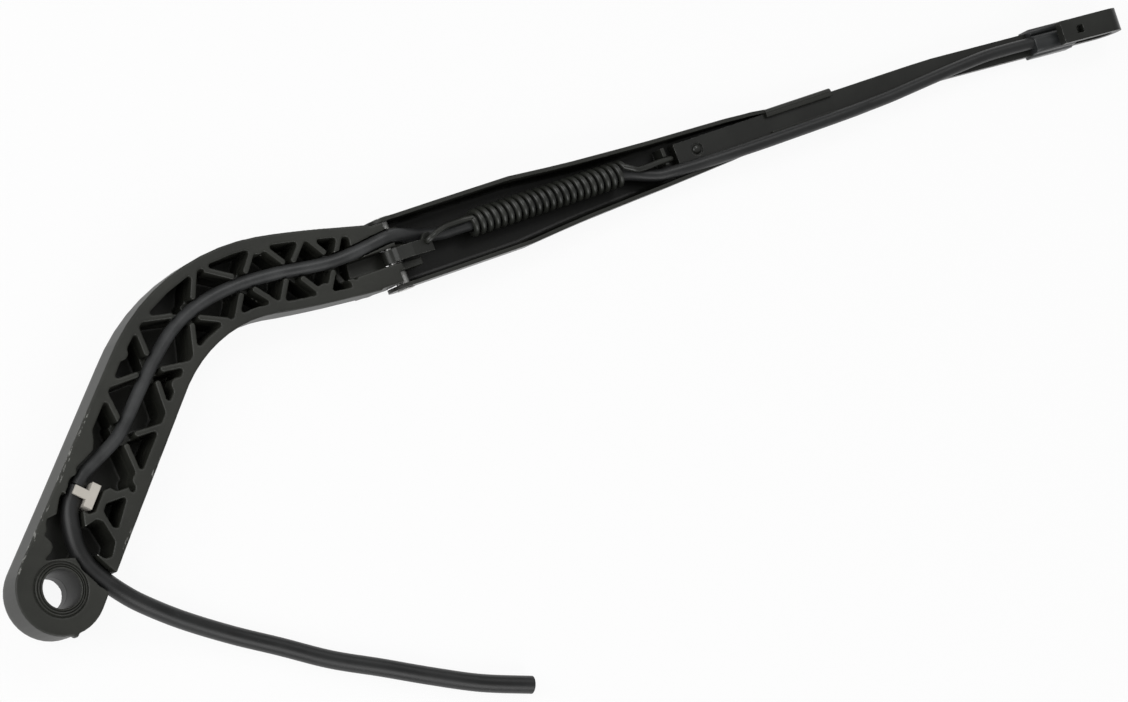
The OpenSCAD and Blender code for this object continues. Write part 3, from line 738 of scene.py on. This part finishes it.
def paintFinish(name, c):
    f = Finish(name, Specular_IOR_Level=c["specular"], Coat_Roughness=c["coatRough"])
    cloud = f.noise(*c["cloud"])
    peel = f.noise(*c["peel"])
    edge = f.edges(c["round"], *c["edgeRange"])
    byEdge, byNoise = c["wornFrom"]
    worn = f.ramp(edge * byEdge + f.noise(*c["wearing"]) * byNoise, *c["wornRange"])
    base = f.mix(f.ramp(cloud, *c["cloudRange"]), c["low"], c["high"])
    base = f.mix(worn * c["wear"], base, c["bare"])
    fold = c.get("fold")
    if fold:
        height = f.axis(2)
        sideways, upward = (f.add("ShaderNodeSeparateXYZ", {}, {0: f.facing()}, k) for k in (1, 2))
        # painted shade: darker low down in the channel, where shade falls in the fold
        foldShadeMask = f.ramp(height, *fold["foldShadeHeights"], fold["foldShadeMost"], 0.0)
        base = f.mix(foldShadeMask, base, fold["foldShade"])
        # painted highlight: faces that look up, high on the walls, are made lighter
        rim = f.ramp(upward, *fold["litRimFacing"]) * f.ramp(height, *fold["litRimHeights"])
        base = f.mix(rim * fold["litRimMost"], base, fold["rim"])
        f.feed(Coat_Weight=f.ramp((f.axis(1) - fold["middle"]) * sideways, *fold["outside"],
                                  0.0, fold["gloss"]))
    least, more = c["rough"]
    f.feed(Base_Color=base, Roughness=least + cloud * more,
           Normal=f.bump(peel, *c["bump"], f.rounded(c["round"])))
    return f


# Rubber of the two hoses, darker on the feed hose

feedRubber = {
    "low": (0.0075, 0.0078, 0.0079),
    "high": (0.0145, 0.0150, 0.01525),
    "dust": (0.11, 0.11, 0.11),
    "specular": 0.5,
    "cloud": (60, 5, 0.6),
    "grain": (1800, 3, 0.6),
    "specks": (650, 3, 0.6),
    "cloudRange": (0.35, 0.65),
    "speckRange": (0.70, 0.76),
    "speckMost": 0.5,
    "rough": (0.34, 0.18),
    "relief": 2.0,  # of the clouds beside the grain
    "bump": (0.1, 0.0001),
}
armRubber = {
    **feedRubber,
    "low": (0.0240, 0.02496, 0.02528),
    "high": (0.0464, 0.0480, 0.0488),
    # darker towards the tip, between 0.12 m and 0.36 m along x
    "tipDark": (0.0100, 0.0104, 0.0104),
    "tipDarkFrom": (0.12, 0.36),
    "tipDarkMost": 0.75,
}


def rubberFinish(name, c):
    f = Finish(name, Specular_IOR_Level=c["specular"])
    cloud = f.noise(*c["cloud"])
    grain = f.noise(*c["grain"])
    specks = f.ramp(f.noise(*c["specks"]), *c["speckRange"])
    base = f.mix(f.ramp(cloud, *c["cloudRange"]), c["low"], c["high"])
    base = f.mix(specks * c["speckMost"], base, c["dust"])
    if "tipDark" in c:
        # darker towards the tip
        base = f.mix(f.ramp(f.axis(0), *c["tipDarkFrom"], 0.0, c["tipDarkMost"]), base, c["tipDark"])
    least, more = c["rough"]
    f.feed(Base_Color=base, Roughness=least + cloud * more,
           Normal=f.bump(grain + cloud * c["relief"], *c["bump"]))
    return f


bareSteel = {
    "low": (0.42, 0.42, 0.41),
    "high": (0.68, 0.68, 0.66),
    "metallic": 0.9,
    "turned": (900, 4, 0.7),
    "turnStretch": (1, 0.1, 1),
    "rough": (0.28, 0.2),
    "bump": (0.1, 0.00005),
    "round": 0.0003,
}


def steelFinish(c):
    f = Finish("bareSteel", Metallic=c["metallic"])
    turned = f.noise(*c["turned"], f.scaled(c["turnStretch"]))
    least, more = c["rough"]
    f.feed(Base_Color=f.mix(turned, c["low"], c["high"]), Roughness=least + turned * more,
           Normal=f.bump(turned, *c["bump"], f.rounded(c["round"])))
    return f


clipPlastic = {
    "low": (0.50, 0.47, 0.42),
    "high": (0.62, 0.59, 0.53),
    "cloud": (150, 4, 0.6),
    "grain": (2200, 2, 0.5),
    "rough": (0.5, 0.15),
    "bump": (0.12, 0.00008),
    "round": 0.0005,
}
sleevePlastic = {
    "low": (0.019, 0.0205, 0.021),
    "high": (0.031, 0.033, 0.034),
    "cloud": (120, 4, 0.6),
    "grain": (600, 3, 0.6),
    "rough": (0.3, 0.12),
    "bump": (0.1, 0.0001),
    "round": 0.0006,
    "coat": {"Coat_Weight": 0.1, "Coat_Roughness": 0.3},
}


def plasticFinish(name, c):
    f = Finish(name, **c.get("coat", {}))
    cloud = f.noise(*c["cloud"])
    least, more = c["rough"]
    f.feed(Base_Color=f.mix(cloud, c["low"], c["high"]), Roughness=least + cloud * more,
           Normal=f.bump(f.noise(*c["grain"]), *c["bump"], f.rounded(c["round"])))
    return f


paint = paintFinish("paintBlack", paintBlack)
steel = steelFinish(bareSteel)
castFinish(castBlack).put(headPiece, mouthPiece)
plasticFinish("sleevePlastic", sleevePlastic).put(sleevePiece)
paintFinish("wireBlack", wireBlack).put(springPiece, rivetPiece)
rubberFinish("feedRubber", feedRubber).put(feedPiece)
rubberFinish("armRubber", armRubber).put(armPiece)
dress("arm_channel", paintFinish("channelBlack", channelBlack))
dress("arm_rod", paint)
dress("spring_link", paint)
dress("pivot_pin", steel)
dress("spring_pin", steel)
dress("hose_clip", plasticFinish("clipPlastic", clipPlastic))
print("materials made")

# Studio

studio = {
    "white": (1, 1, 1),
    "floorColor": (0.93, 0.93, 0.93),
    "floorRough": 0.9,
    "floorGlow": 0.92,
    "floorLevel": -0.0002,
    "floorSides": ((-4, -4), (4.5, -4), (4.5, 4), (-4, 4)),
    "skyLight": 0.3,
    "lamps": [
        # place, aim, size, power
        ((-0.9, 0.5, 0.9), (0.15, 0.03, 0), 1.1, 10.0),
        ((0.1, -1.3, 0.9), (0.2, 0.03, 0), 1.0, 9.0),
        ((0.9, 0.9, 1.4), (0.25, 0.05, 0), 0.7, 5.0),
    ],
}


def makeFloor(s):
    corners = [(x, y, s["floorLevel"]) for x, y in s["floorSides"]]
    floor = newPiece("floor", corners, [(0, 1, 2, 3)], False)
    f = Finish("floorWhite", Roughness=s["floorRough"], Specular_IOR_Level=0.0)
    f.shader.inputs["Base Color"].default_value = (*s["floorColor"], 1)
    seen, mirrored, through = (f.add("ShaderNodeLightPath", {}, {}, kind) for kind in
                               ("Is Camera Ray", "Is Glossy Ray", "Is Transmission Ray"))
    glow = f.add("ShaderNodeEmission", {}, {"Color": s["white"], "Strength": 1.0})
    clear = f.add("ShaderNodeBsdfTransparent", {}, {})
    # white in what the parts mirror, and clear to the camera against the white sky, so that
    # an arm that swings down through the floor stays in view; the rest keeps the shadow
    lit = f.add("ShaderNodeMixShader", {}, {0: mirrored.high(through) * s["floorGlow"],
                                            1: Wire(f, f.shader.outputs[0]), 2: glow})
    both = f.add("ShaderNodeMixShader", {}, {0: seen * s["floorGlow"], 1: lit, 2: clear})
    f.tree.links.new(both.socket, f.tree.nodes["Material Output"].inputs["Surface"])
    f.put(floor)


def makeLamps(s):
    for i, (place, aim, size, power) in enumerate(s["lamps"]):
        data = bpy.data.lights.new("softbox%d" % i, "AREA")
        data.shape = "SQUARE"
        data.size = size
        data.energy = power
        lamp = bpy.data.objects.new(data.name, data)
        lamp.location = place
        lamp.rotation_euler = (Vector(aim) - Vector(place)).to_track_quat("-Z", "Y").to_euler()
        bpy.context.scene.collection.objects.link(lamp)


def makeSky(s):  # white to the camera, and a plain light to everything else
    world = bpy.data.worlds.new("studioSky")
    bpy.context.scene.world = world
    world.use_nodes = True
    tree = world.node_tree
    sky = tree.nodes["Background"]
    white = tree.nodes.new("ShaderNodeBackground")
    for node, strength in ((sky, s["skyLight"]), (white, 1.0)):
        node.inputs["Color"].default_value = (*s["white"], 1)
        node.inputs["Strength"].default_value = strength
    ray = tree.nodes.new("ShaderNodeLightPath")
    pick = tree.nodes.new("ShaderNodeMixShader")
    tree.links.new(ray.outputs["Is Camera Ray"], pick.inputs[0])
    tree.links.new(sky.outputs[0], pick.inputs[1])
    tree.links.new(white.outputs[0], pick.inputs[2])
    tree.links.new(pick.outputs[0], tree.nodes["World Output"].inputs["Surface"])


makeFloor(studio)
makeLamps(studio)
makeSky(studio)
print("studio lit")
